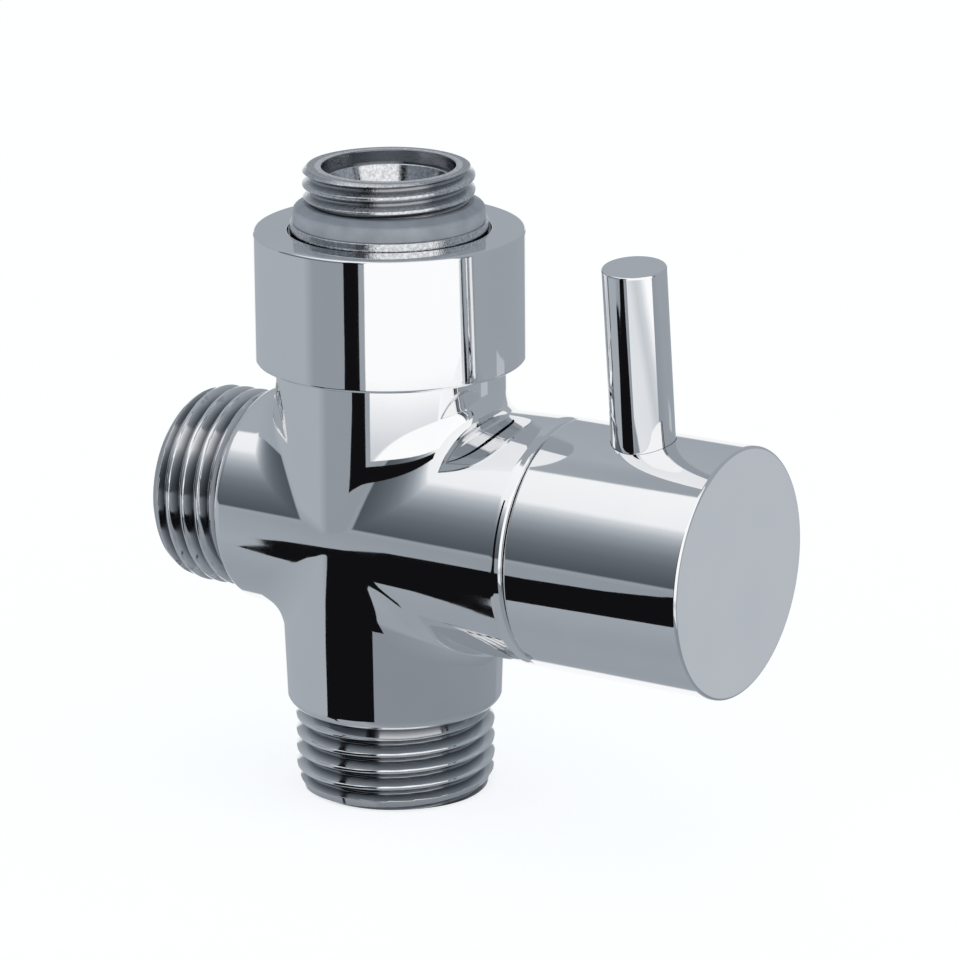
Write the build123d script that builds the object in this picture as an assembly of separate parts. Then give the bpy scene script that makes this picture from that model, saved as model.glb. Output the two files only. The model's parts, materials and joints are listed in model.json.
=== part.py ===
from build123d import *
import os

# A shower diverter valve: water comes in at the top through a swivelling collar and leaves
# by the lower outlet or by the side outlet, as the lever on the round knob turns the plug.
#
# All sizes are millimetres. While the pieces are shaped, the two centre lines of the body
# cross at (0, 0, 0): +Z runs up to the inlet and +X runs out to the knob. At the end every
# piece is lowered, so that the origin lies on the inlet's axis in the plane of its washer.

# Threads, drawn plain at their crest diameter
PIPE_THREAD_D = 20.955
PIPE_THREAD_ROOT_D = 18.631
INLET_THREAD_D = 17.8
INLET_THREAD_ROOT_D = 16.2
GLAND_THREAD_D = 20.0
SCREW_D = 4.0
THREAD_GAP = 0.05
RUNNING_GAP = 0.08
FACE_GAP = 0.05
O_RING_SLACK = 0.01

# Body casting: two slightly tapered tubes that cross
BLEND_R = 2.0
NECK_R = 12.0
NECK_TOP = 16.5
LOWER_TUBE_R = 11.35
LOWER_TUBE_LENGTH = 21.3
LOWER_THREAD_LENGTH = 8.35
LOWER_BORE_R = 7.2
SIDE_TUBE_R = 11.5
SIDE_TUBE_LENGTH = 16.0
SIDE_THREAD_LENGTH = 7.9
SIDE_BORE_R = 6.5
KNOB_TUBE_LENGTH = 21.0
TOP_BORE_R = 6.0
SHOULDER_ROUND = 1.4
RIM_ROUND = 0.5
THREAD_RELIEF = 0.9
THREAD_CHAMFER = 1.0

# Spigot that carries the swivel collar, and its wire ring
SPIGOT_R = 9.35
SPIGOT_LENGTH = 6.0
SPIGOT_CHAMFER = 0.3
RING_WIRE_R = 0.7
RING_OPENING = 30.0

# Collar
COLLAR_R = 14.05
COLLAR_GAP = 0.3
COLLAR_HEIGHT = 13.8
COLLAR_LIP = 1.6
COLLAR_ROUND = 0.35

# Inlet adapter and its washers
UNION_WASHER_THICKNESS = 1.8
ADAPTER_THREAD_LENGTH = 4.4
ADAPTER_BORE_R = 4.8
FLANGE_INSET = 0.28
FLANGE_PROUD = 0.8
FLANGE_THICKNESS = 2.4
INLET_WASHER_THICKNESS = 1.45
INLET_WASHER_ROUND = 0.5
INLET_STUB = 4.32
INLET_CHAMFER = 0.26
MOUTH_R = 6.9
MOUTH_DEPTH = 1.4
BOWL_R = 6.4
BOWL_DEPTH = 4.6

# Plug chamber, plug and seals
CHAMBER_R = 8.6
CHAMBER_LEFT = 9.0
SEAT_THICKNESS = 1.5
SEAT_BORE_R = 5.8
PLUG_LENGTH = 15.95
PLUG_CUP_R = 5.0
PLUG_CUP_DEPTH = 12.05
PLUG_WALL = 1.2
PLUG_WINDOW_R = 4.6
PLUG_GROOVE_HALF_LENGTH = 4.8
PLUG_GROOVE_START = 2.2
PLUG_O_RING_R = 0.6
DRIVE_WIDTH = 3.0
DRIVE_DEPTH = 2.2
DRIVE_INSET = 1.9

# Stem, gland nut and its seals
STEM_R = 4.0
STEM_STEP = 0.4
STEM_FLANGE_INSET = 0.4
STEM_FLANGE_THICKNESS = 1.8
STEM_O_RING_R = 0.55
STEM_O_RING_SPACING = 3.4
STEM_FLAT = 2.9
STEM_CHAMFER = 0.3
THRUST_WASHER_THICKNESS = 0.7
GASKET_THICKNESS = 1.0
GASKET_WIDTH = 1.4
GLAND_FLANGE_INSET = 0.4
GLAND_FLANGE_THICKNESS = 1.0
GLAND_HEX_ACROSS = 17.0
GLAND_HEX_LENGTH = 2.5
GLAND_SPIGOT_R = 6.5
GLAND_SPIGOT_LENGTH = 1.5
STOP_RING_WIDTH = 3.1
STOP_RING_THICKNESS = 0.8
STOP_HEIGHT = 1.3

# Knob, lever and grub screw
KNOB_R = 13.0
KNOB_LENGTH = 20.0
KNOB_GAP = 0.28
KNOB_ROUND = 0.3
KNOB_WALL = 1.9
KNOB_CAVITY_DEPTH = 6.3
KNOB_SOCKET_DEPTH = 15.0
LEVER_R = 3.3
LEVER_STATION = 9.62
LEVER_REACH = 18.4
LEVER_SEAT_DEPTH = 1.0
LEVER_SHANK_LENGTH = 5.0
LEVER_BEVEL = 0.25
GRUB_STATION = 11.0
GRUB_LENGTH = 4.5
GRUB_KEY_ACROSS = 2.0
LUG_INSET = 0.2
LUG_WIDTH = 2.2
LUG_ANGLE = 24.0

# Angles about the knob's axis. The lever swings a quarter turn, and it stands a little off
# upright as the valve is drawn.
LEVER_TRAVEL = 90.0
LEVER_LEAN = 6.0
STOP_MARGIN = 1.0

# Thread radii
pipe_r = PIPE_THREAD_D / 2
pipe_root_r = PIPE_THREAD_ROOT_D / 2
inlet_r = INLET_THREAD_D / 2
inlet_root_r = INLET_THREAD_ROOT_D / 2
gland_r = GLAND_THREAD_D / 2
screw_r = SCREW_D / 2

# Heights, from the spigot up to the inlet's rim
spigot_top = NECK_TOP + SPIGOT_LENGTH
collar_bottom = NECK_TOP + COLLAR_GAP
lip_top = collar_bottom + COLLAR_LIP
collar_top = collar_bottom + COLLAR_HEIGHT
adapter_bottom = spigot_top + UNION_WASHER_THICKNESS
flange_top = collar_top + FLANGE_PROUD
flange_r = pipe_r - FLANGE_INSET
washer_plane = flange_top + INLET_WASHER_THICKNESS
inlet_rim = washer_plane + INLET_STUB

# Stations along X, from the seat out to the knob's face
seat_start = -CHAMBER_LEFT
plug_start = seat_start + SEAT_THICKNESS + FACE_GAP
plug_end = plug_start + PLUG_LENGTH
plug_r = CHAMBER_R - RUNNING_GAP
plug_seal_x = plug_end - DRIVE_DEPTH + PLUG_O_RING_R + FACE_GAP
drive_start = plug_end - DRIVE_DEPTH
drive_r = CHAMBER_R - DRIVE_INSET
stem_flange_start = plug_end + FACE_GAP
stem_flange_end = stem_flange_start + STEM_FLANGE_THICKNESS
stem_flange_r = CHAMBER_R - STEM_FLANGE_INSET
thrust_start = stem_flange_end + FACE_GAP
gland_start = thrust_start + THRUST_WASHER_THICKNESS + FACE_GAP
gasket_end = gland_start + GASKET_THICKNESS
gland_bore_r = STEM_R + RUNNING_GAP
hex_start = KNOB_TUBE_LENGTH + GLAND_FLANGE_THICKNESS
hex_end = hex_start + GLAND_HEX_LENGTH
gland_end = hex_end + GLAND_SPIGOT_LENGTH
stop_ring_r = GLAND_SPIGOT_R + STOP_RING_WIDTH
stop_base_end = hex_end + STOP_RING_THICKNESS
stem_o_ring_inner_x = gland_start + STEM_O_RING_SPACING
stem_o_ring_outer_x = stem_o_ring_inner_x + STEM_O_RING_SPACING
stem_drive_r = STEM_R - STEM_STEP
knob_start = KNOB_TUBE_LENGTH + KNOB_GAP
knob_face = knob_start + KNOB_LENGTH
cavity_end = knob_start + KNOB_CAVITY_DEPTH
cavity_r = KNOB_R - KNOB_WALL
socket_end = knob_start + KNOB_SOCKET_DEPTH
stem_end = socket_end - KNOB_GAP
lug_outer_r = stop_ring_r - LUG_INSET
lug_inner_r = lug_outer_r - LUG_WIDTH
lever_x = knob_start + LEVER_STATION
lever_seat = KNOB_R - LEVER_SEAT_DEPTH
lever_top = KNOB_R + LEVER_REACH
shank_end = lever_seat - LEVER_SHANK_LENGTH
grub_x = knob_start + GRUB_STATION


def turned_z(corners):
    """A piece turned about Z, from its (radius, height) corners."""
    return revolve(Plane.XZ * make_face(Polyline(*corners, close=True)), Axis.Z)


def turned_x(corners):
    """A piece turned about X, from its (station, radius) corners."""
    return revolve(Plane.XZ * make_face(Polyline(*corners, close=True)), Axis.X)


def rod_x(radius, start, end):
    """A round rod along X between two stations."""
    return Plane.YZ.offset(start) * extrude(Circle(radius), end - start)


def rod_z(radius, start, end):
    """A round rod along Z between two heights."""
    return Plane.XY.offset(start) * extrude(Circle(radius), end - start)


def ring_z(outer, inner, start, end):
    """A flat ring about Z between two heights."""
    return turned_z([(inner, start), (outer, start), (outer, end), (inner, end)])


def ring_x(outer, inner, start, end):
    """A flat ring about X between two stations."""
    return turned_x([(start, inner), (end, inner), (end, outer), (start, outer)])


def round_edges(part, axis, station, radius):
    """The full-circle edges of a turned piece at one station and of one radius."""
    along = {Axis.X: lambda p: p.X, Axis.Z: lambda p: p.Z}[axis]
    return part.edges().filter_by(GeomType.CIRCLE).filter_by(
        lambda e: abs(along(e.arc_center) - station) < 0.01 and abs(e.radius - radius) < 0.01
    )


def sector_x(outer, inner, start, end, middle, angle):
    """Part of a ring about X: angles are measured from upright, positive towards -Y."""
    face = Plane.XZ * make_face(
        Polyline((start, inner), (end, inner), (end, outer), (start, outer), close=True)
    )
    return Rot(middle - angle / 2, 0, 0) * revolve(face, Axis.X, revolution_arc=angle)


def o_ring_x(station, middle_r, wire_r):
    """A rubber ring of round section about X."""
    return Plane.YZ.offset(station) * Torus(middle_r, wire_r)


def outlet_thread(length):
    """A threaded outlet about +Z, from its shoulder at z = 0 to its chamfered end."""
    return turned_z([
        (0, -SHOULDER_ROUND),
        (pipe_root_r, -SHOULDER_ROUND),
        (pipe_root_r, THREAD_RELIEF),
        (pipe_r, THREAD_RELIEF),
        (pipe_r, length - THREAD_CHAMFER),
        (pipe_r - THREAD_CHAMFER, length),
        (0, length),
    ])


def crossing_tubes():
    """The upright tube and the run across it, blended where they meet."""
    upright = turned_z([
        (0, -LOWER_TUBE_LENGTH),
        (LOWER_TUBE_R, -LOWER_TUBE_LENGTH),
        (NECK_R, NECK_TOP),
        (0, NECK_TOP),
    ])
    run = turned_x([
        (-SIDE_TUBE_LENGTH, 0),
        (-SIDE_TUBE_LENGTH, SIDE_TUBE_R),
        (KNOB_TUBE_LENGTH, KNOB_R),
        (KNOB_TUBE_LENGTH, 0),
    ])
    tubes = upright + run
    meeting = tubes.edges().filter_by(lambda e: e.geom_type not in (GeomType.LINE, GeomType.CIRCLE))
    return fillet(meeting, BLEND_R)


def collar_spigot():
    """The stub on the neck that goes up into the collar, with the groove for the wire ring."""
    groove_bottom = lip_top + FACE_GAP
    groove_top = groove_bottom + 2 * RING_WIRE_R + 2 * FACE_GAP
    groove_r = SPIGOT_R - RING_WIRE_R - FACE_GAP
    return turned_z([
        (0, 0),
        (SPIGOT_R, 0),
        (SPIGOT_R, groove_bottom),
        (groove_r, groove_bottom),
        (groove_r, groove_top),
        (SPIGOT_R, groove_top),
        (SPIGOT_R, spigot_top - SPIGOT_CHAMFER),
        (SPIGOT_R - SPIGOT_CHAMFER, spigot_top),
        (0, spigot_top),
    ])


def body_outside():
    """The blended tubes with rounded shoulders, two threaded outlets and the spigot."""
    body = crossing_tubes()
    body = fillet(round_edges(body, Axis.Z, -LOWER_TUBE_LENGTH, LOWER_TUBE_R), SHOULDER_ROUND)
    body = fillet(round_edges(body, Axis.X, -SIDE_TUBE_LENGTH, SIDE_TUBE_R), SHOULDER_ROUND)
    body = fillet(round_edges(body, Axis.X, KNOB_TUBE_LENGTH, KNOB_R), RIM_ROUND)
    body += Pos(0, 0, -LOWER_TUBE_LENGTH) * Rot(180, 0, 0) * outlet_thread(LOWER_THREAD_LENGTH)
    body += Pos(-SIDE_TUBE_LENGTH, 0, 0) * Rot(0, -90, 0) * outlet_thread(SIDE_THREAD_LENGTH)
    return body + collar_spigot()


def valve_body():
    """The cast and machined body: chamber, gland thread and three waterways."""
    body = body_outside()
    body -= rod_x(CHAMBER_R, -CHAMBER_LEFT, gland_start)
    body -= rod_x(gland_r, gland_start, KNOB_TUBE_LENGTH)
    body -= rod_x(SIDE_BORE_R, -SIDE_TUBE_LENGTH - SIDE_THREAD_LENGTH, -CHAMBER_LEFT)
    body -= rod_z(LOWER_BORE_R, -LOWER_TUBE_LENGTH - LOWER_THREAD_LENGTH, 0)
    return body - rod_z(TOP_BORE_R, 0, spigot_top)


def collar():
    """The smooth swivel nut: an inner lip under the wire ring, and a threaded bore above it."""
    lip_r = SPIGOT_R + RUNNING_GAP
    bore_r = pipe_r + THREAD_GAP
    nut = turned_z([
        (lip_r, collar_bottom),
        (COLLAR_R, collar_bottom),
        (COLLAR_R, collar_top),
        (bore_r, collar_top),
        (bore_r, lip_top),
        (lip_r, lip_top),
    ])
    lower_edge = round_edges(nut, Axis.Z, collar_bottom, COLLAR_R)
    upper_edge = round_edges(nut, Axis.Z, collar_top, COLLAR_R)
    return fillet(lower_edge + upper_edge, COLLAR_ROUND)


def collar_ring():
    """The open spring wire ring that holds the collar on its spigot."""
    height = lip_top + 2 * FACE_GAP + RING_WIRE_R
    section = Plane.XZ * Pos(SPIGOT_R, height) * Circle(RING_WIRE_R)
    return revolve(section, Axis.Z, revolution_arc=360 - RING_OPENING)


def union_washer():
    """The flat rubber washer between the spigot and the adapter."""
    return ring_z(pipe_root_r - THREAD_GAP, TOP_BORE_R, spigot_top, adapter_bottom)


def inlet_adapter():
    """The screwed adapter: pipe thread below, flange, and the inlet thread with its bowl."""
    flange_bottom = flange_top - FLANGE_THICKNESS
    thread_top = adapter_bottom + ADAPTER_THREAD_LENGTH
    bowl_top = inlet_rim - MOUTH_DEPTH
    return turned_z([
        (ADAPTER_BORE_R, adapter_bottom),
        (pipe_root_r, adapter_bottom),
        (pipe_r, adapter_bottom + pipe_r - pipe_root_r),
        (pipe_r, thread_top),
        (pipe_root_r, thread_top),
        (pipe_root_r, flange_bottom),
        (flange_r, flange_bottom),
        (flange_r, flange_top),
        (inlet_root_r, flange_top),
        (inlet_root_r, washer_plane),
        (inlet_r, washer_plane),
        (inlet_r, inlet_rim - INLET_CHAMFER),
        (inlet_r - INLET_CHAMFER, inlet_rim),
        (MOUTH_R, inlet_rim),
        (MOUTH_R, bowl_top),
        (BOWL_R, bowl_top),
        (ADAPTER_BORE_R, bowl_top - BOWL_DEPTH),
    ])


def inlet_washer():
    """The pale rubber washer on the flange, its outer edge rounded."""
    outer = flange_r - THREAD_GAP
    washer = ring_z(outer, inlet_root_r + THREAD_GAP, flange_top, washer_plane)
    return fillet(round_edges(washer, Axis.Z, washer_plane, outer), INLET_WASHER_ROUND)


def side_seat():
    """The plastic ring that the plug's open end turns against."""
    return ring_x(CHAMBER_R - FACE_GAP, SEAT_BORE_R, seat_start, seat_start + SEAT_THICKNESS)


def plug_groove():
    """The half groove round the plug that joins the top and lower waterways."""
    half = PLUG_GROOVE_HALF_LENGTH
    ring = ring_x(2 * CHAMBER_R, PLUG_CUP_R + PLUG_WALL, -half, half)
    return ring & Pos(0, -PLUG_GROOVE_START - 2 * CHAMBER_R, 0) * Box(4 * half, 4 * CHAMBER_R, 5 * CHAMBER_R)


def drive_key(radius, width, start, end):
    """A flat key across the axis, round at its ends: the plug's slot or the stem's tang."""
    return rod_x(radius, start, end) & Pos((start + end) / 2, 0, 0) * Box(end - start, 3 * radius, width)


def diverter_plug():
    """The turning plug: an open cup with a window, and a groove half way round its back."""
    wire = PLUG_O_RING_R + FACE_GAP
    plug = rod_x(plug_r, plug_start, plug_end)
    plug -= rod_x(PLUG_CUP_R, plug_start, plug_start + PLUG_CUP_DEPTH)
    plug -= Rot(90, 0, 0) * rod_z(PLUG_WINDOW_R, -CHAMBER_R, 0)
    plug -= plug_groove()
    plug -= ring_x(CHAMBER_R, plug_r - 2 * PLUG_O_RING_R, plug_seal_x - wire, plug_seal_x + wire)
    return plug - drive_key(drive_r, DRIVE_WIDTH, drive_start, plug_end)


def plug_o_ring():
    """The rubber ring near the plug's driven end."""
    return o_ring_x(plug_seal_x, plug_r - PLUG_O_RING_R, PLUG_O_RING_R - O_RING_SLACK)


def stem_groove(station):
    """The groove that holds one rubber ring on the stem."""
    half = STEM_O_RING_R + FACE_GAP
    return ring_x(2 * STEM_R, STEM_R - 2 * STEM_O_RING_R, station - half, station + half)


def stem():
    """The brass stem: a tang in the plug, a flange behind the gland, grooves and a flat."""
    tang_width = DRIVE_WIDTH - 2 * FACE_GAP
    piece = drive_key(drive_r - FACE_GAP, tang_width, drive_start + FACE_GAP, stem_flange_start)
    piece += rod_x(stem_flange_r, stem_flange_start, stem_flange_end)
    piece += rod_x(STEM_R, stem_flange_end, gland_end)
    piece += rod_x(stem_drive_r, gland_end, stem_end)
    piece -= stem_groove(stem_o_ring_inner_x)
    piece -= stem_groove(stem_o_ring_outer_x)
    flat_length = stem_end - cavity_end
    flat_middle = Pos(cavity_end + flat_length / 2, 0, -STEM_FLAT - STEM_R)
    piece -= flat_middle * Box(flat_length, 4 * STEM_R, 2 * STEM_R)
    return chamfer(piece.faces().sort_by(Axis.X)[-1].edges(), STEM_CHAMFER)


def stem_o_ring(station):
    """One of the two rubber rings on the stem."""
    return o_ring_x(station, STEM_R - STEM_O_RING_R, STEM_O_RING_R - O_RING_SLACK)


def thrust_washer():
    """The slippery washer between the stem's flange and the gland nut."""
    return ring_x(stem_flange_r, gland_bore_r, thrust_start, thrust_start + THRUST_WASHER_THICKNESS)


def gland_gasket():
    """The flat gasket under the gland nut's shoulder."""
    outer = gland_r - THREAD_GAP
    return ring_x(outer, outer - GASKET_WIDTH, gland_start, gasket_end)


def gland_nut():
    """The nut that closes the chamber: nose, thread, flange, hexagon and stop ring spigot."""
    nose_r = gland_r - GASKET_WIDTH - 2 * THREAD_GAP
    nut = rod_x(nose_r, gland_start, gasket_end)
    nut += rod_x(gland_r - THREAD_GAP, gasket_end, KNOB_TUBE_LENGTH)
    nut += rod_x(cavity_r - GLAND_FLANGE_INSET, KNOB_TUBE_LENGTH, hex_start)
    hexagon = RegularPolygon(GLAND_HEX_ACROSS / 2, 6, major_radius=False)
    nut += Plane.YZ.offset(hex_start) * extrude(hexagon, GLAND_HEX_LENGTH)
    nut += rod_x(GLAND_SPIGOT_R, hex_end, gland_end)
    return nut - rod_x(gland_bore_r, gland_start, gland_end)


def stop_ring():
    """The ring on the gland nut's spigot whose raised arc ends the lever's quarter turn."""
    ring = ring_x(stop_ring_r, GLAND_SPIGOT_R + THREAD_GAP, hex_end, stop_base_end)
    free = LEVER_TRAVEL + LUG_ANGLE + 2 * STOP_MARGIN
    middle = LEVER_TRAVEL / 2 + 180
    return ring + sector_x(stop_ring_r, lug_inner_r, hex_end, stop_base_end + STOP_HEIGHT, middle, 360 - free)


def knob_shell():
    """The turned knob: a cavity over the gland nut and a blind socket for the stem."""
    socket_r = stem_drive_r + FACE_GAP
    shell = turned_x([
        (knob_start, cavity_r),
        (knob_start, KNOB_R),
        (knob_face, KNOB_R),
        (knob_face, 0),
        (socket_end, 0),
        (socket_end, socket_r),
        (cavity_end, socket_r),
        (cavity_end, cavity_r),
    ])
    back_rim = round_edges(shell, Axis.X, knob_start, KNOB_R)
    front_rim = round_edges(shell, Axis.X, knob_face, KNOB_R)
    return fillet(back_rim + front_rim, KNOB_ROUND)


def knob():
    """The round knob with its stop lug, the lever's seat and thread, and the grub screw's hole."""
    screw_hole_r = screw_r + THREAD_GAP
    lug_start = stop_base_end + 2 * FACE_GAP
    piece = knob_shell() + sector_x(lug_outer_r, lug_inner_r, lug_start, cavity_end, 0, LUG_ANGLE)
    piece -= Pos(lever_x, 0, 0) * rod_z(LEVER_R + THREAD_GAP, lever_seat, 2 * KNOB_R)
    piece -= Pos(lever_x, 0, 0) * rod_z(screw_hole_r, shank_end, lever_seat)
    return piece - Pos(grub_x, 0, 0) * rod_z(screw_hole_r, -2 * KNOB_R, 0)


def lever():
    """The pin lever, screwed into the knob by its thin shank."""
    pin = rod_z(LEVER_R, lever_seat, lever_top)
    pin = chamfer(round_edges(pin, Axis.Z, lever_top, LEVER_R), LEVER_BEVEL)
    return Pos(lever_x, 0, 0) * (pin + rod_z(screw_r, shank_end, lever_seat))


def grub_screw():
    """The socket screw in the knob's underside, tight on the stem's flat."""
    tip = -STEM_FLAT - FACE_GAP
    head = tip - GRUB_LENGTH
    key = RegularPolygon(GRUB_KEY_ACROSS / 2, 6, major_radius=False)
    screw = rod_z(screw_r, head, tip) - Plane.XY.offset(head) * extrude(key, GRUB_LENGTH / 2)
    return Pos(grub_x, 0, 0) * screw


def fixed_pieces():
    """What stays still when the lever turns, apart from the collar and what is in it."""
    return {
        "valve_body": valve_body(),
        "side_seat": side_seat(),
        "gland_gasket": gland_gasket(),
        "gland_nut": gland_nut(),
        "thrust_washer": thrust_washer(),
        "stop_ring": stop_ring(),
        "collar_ring": collar_ring(),
    }


def inlet_pieces():
    """The collar and the pieces that swivel with it."""
    return {
        "collar": collar(),
        "union_washer": union_washer(),
        "inlet_adapter": inlet_adapter(),
        "inlet_washer": inlet_washer(),
    }


def turning_pieces():
    """The plug, stem and knob, shaped with the lever upright."""
    return {
        "diverter_plug": diverter_plug(),
        "plug_o_ring": plug_o_ring(),
        "stem": stem(),
        "stem_o_ring_inner": stem_o_ring(stem_o_ring_inner_x),
        "stem_o_ring_outer": stem_o_ring(stem_o_ring_outer_x),
        "knob": knob(),
        "lever": lever(),
        "grub_screw": grub_screw(),
    }


def main():
    os.makedirs("parts", exist_ok=True)
    lowered = Pos(0, 0, -washer_plane)
    leaning = lowered * Rot(LEVER_LEAN, 0, 0)
    pieces = {name: lowered * piece for name, piece in (fixed_pieces() | inlet_pieces()).items()}
    pieces |= {name: leaning * piece for name, piece in turning_pieces().items()}
    for name, piece in pieces.items():
        export_step(piece, f"parts/{name}.step")
        print(name, round(piece.volume, 1))


main()
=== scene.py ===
# %% [markdown]
# # A chromed shower diverter valve
# The valve was designed as an assembly and packed as a frame of solids, joints and mounts. That
# frame fixes every size and place here. This script gives the valve its looks: fine surfaces for
# the plated pieces, real screw threads, finishes, and a small studio for the chrome to mirror.
# The finished pieces stand exactly where their solids stand, so the first thing to do is to load
# the frame and keep the box that it fills.
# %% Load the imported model
import json
import math

import bpy
import numpy as np
from mathutils import Matrix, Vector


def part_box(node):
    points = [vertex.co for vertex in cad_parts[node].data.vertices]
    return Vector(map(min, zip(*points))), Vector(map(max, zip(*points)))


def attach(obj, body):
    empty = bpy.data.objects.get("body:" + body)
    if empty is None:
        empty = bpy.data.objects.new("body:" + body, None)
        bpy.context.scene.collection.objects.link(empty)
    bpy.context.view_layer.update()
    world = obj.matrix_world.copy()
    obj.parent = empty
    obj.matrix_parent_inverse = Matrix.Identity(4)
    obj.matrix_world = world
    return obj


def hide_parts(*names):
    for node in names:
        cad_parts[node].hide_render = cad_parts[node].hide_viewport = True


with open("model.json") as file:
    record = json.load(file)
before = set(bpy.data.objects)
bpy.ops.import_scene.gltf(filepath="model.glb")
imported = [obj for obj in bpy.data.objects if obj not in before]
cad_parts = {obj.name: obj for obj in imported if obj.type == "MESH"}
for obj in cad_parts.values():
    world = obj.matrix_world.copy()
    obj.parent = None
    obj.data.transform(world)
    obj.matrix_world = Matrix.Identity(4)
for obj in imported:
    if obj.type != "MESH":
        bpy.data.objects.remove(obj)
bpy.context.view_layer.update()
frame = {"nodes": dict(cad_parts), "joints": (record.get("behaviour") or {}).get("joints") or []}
scene = bpy.context.scene

# %% [markdown]
# ## Sizes
# A numpy surface needs the same radii and stations as the solid that it dresses. Those that the
# frame can tell are measured from it: the lever's pivot lies where the two tubes cross, and each
# node's box gives its ends. Radii inside a piece can't be read from a box, so they are named
# here, in millimetres, as the maker's drawing has them. Heights are counted from the crossing.
# %% Sizes, in millimetres from the crossing of the tubes
MM = 0.001
pivot = [joint for joint in frame["joints"] if joint["name"] == "lever_turn"][0]["pos_m"]
crossing_z = pivot[2] / MM


def span(node_name, axis):
    """The lowest and highest coordinate of a node along an axis, from the crossing."""
    low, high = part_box(node_name)
    shift = crossing_z if axis == 2 else 0
    return low[axis] / MM - shift, high[axis] / MM - shift


side_end, knob_tube_end = span("valve_body", 0)
lower_end, spigot_top = span("valve_body", 2)
collar_r = span("collar", 0)[1]
collar_bottom, collar_top = span("collar", 2)
adapter_bottom, inlet_rim = span("inlet_adapter", 2)
flange_top, washer_plane = span("inlet_washer", 2)
WASHER_LIP = 0.6
washer_lip_top = washer_plane + WASHER_LIP
washer_r = span("inlet_washer", 0)[1]
knob_start, knob_face = span("knob", 0)
knob_r = span("knob", 1)[1]

# The cross tube (the run) and the upright tube: radii at their ends and at the crossing, and
# the growth of a radius for each millimetre of x or of z
LOWER_SHOULDER = -20.4
NECK_TOP = 16.5
SIDE_SHOULDER = -15.25
RUN_KNOB_R = 13.0
RUN_SIDE_R = 11.5
RUN_STANDS_OUT = 0.03
NECK_R = 12.0
LOWER_R = 11.35
RUN_TAPER = (RUN_KNOB_R - RUN_SIDE_R) / (knob_tube_end - SIDE_SHOULDER)
RUN_R = RUN_KNOB_R - RUN_TAPER * knob_tube_end
UPRIGHT_R = RUN_R - RUN_STANDS_OUT
NECK_TAPER = (NECK_R - UPRIGHT_R) / NECK_TOP
LOWER_TAPER = (UPRIGHT_R - LOWER_R) / -LOWER_SHOULDER
print("crossing at z", round(crossing_z, 2), "run", round(RUN_R, 2), "upright", round(UPRIGHT_R, 2))

# %% [markdown]
# ## Patches
# Chrome shows every flaw of the surface under it, so the reflections have to come from exact
# normals and not from averaged facets. Each piece is therefore sewn from patches. A patch is a
# grid of points that are a function of two parameters, with the true normal of that function at
# each point. Where two patches meet, their edge points are the same, and the sewing joins them.
# %% Grids and their frames
def grid(points, normals):
    """A patch from a grid of points and normals. The outside is where the cross product of the
    column direction and the row direction points."""
    rows, columns = points.shape[:2]
    index = np.arange(rows * columns).reshape(rows, columns)
    faces = np.stack([index[:-1, :-1], index[:-1, 1:], index[1:, 1:], index[1:, :-1]], axis=-1)
    normals = np.broadcast_to(normals, points.shape)
    return points.reshape(-1, 3), normals.reshape(-1, 3), faces.reshape(-1, 4)


def inside_out(patches):
    """The same patches facing the other way: normals turned round and faces wound backwards."""
    return [(points, -normals, faces[:, ::-1]) for points, normals, faces in patches]


def placed(patches, axes, shift=(0, 0, 0)):
    """Patches turned into a frame whose X, Y and Z axes are the rows of axes, then moved."""
    axes = np.array(axes, float)
    shift = np.array(shift)
    return [(points @ axes + shift, normals @ axes, faces) for points, normals, faces in patches]


UPRIGHT = np.eye(3)
ALONG_X = [(0, 1, 0), (0, 0, 1), (1, 0, 0)]
UPSIDE_DOWN = [(1, 0, 0), (0, -1, 0), (0, 0, -1)]
FULL_TURN = 2 * math.pi
UP = np.array([0.0, 0.0, 1.0])


def ring_angles(count):
    """Angles of the columns round a whole turn, from the front (-Y) by way of +X."""
    return np.linspace(-math.pi / 2, 3 * math.pi / 2, count + 1)


def polar(radius, angles, height):
    """Points (r cos a, r sin a, h). The three values are spread over each other."""
    radius, angles, height = np.broadcast_arrays(radius, angles, height)
    return np.stack([radius * np.cos(angles), radius * np.sin(angles), height], axis=-1)


print("a patch of one face:", grid(polar([[2], [1]], [0, 1], 0), UP)[2].tolist())

# %% [markdown]
# ## Turned pieces
# Collar, washer, knob and lever are made on a lathe, and so is each end of the body. The lathe's
# surface is a profile carried round an axis. The profile is given by its corners alone, each
# with the radius of its rounding, because a sharp machined edge never looks real: it is the thin
# bright line along the rounding that tells the eye that the metal is thick.
# %% Profiles and turned skins
FINE_EDGE = 0.1
TURNED_EDGE = 0.12
SOFT_EDGE = 0.15


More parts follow.
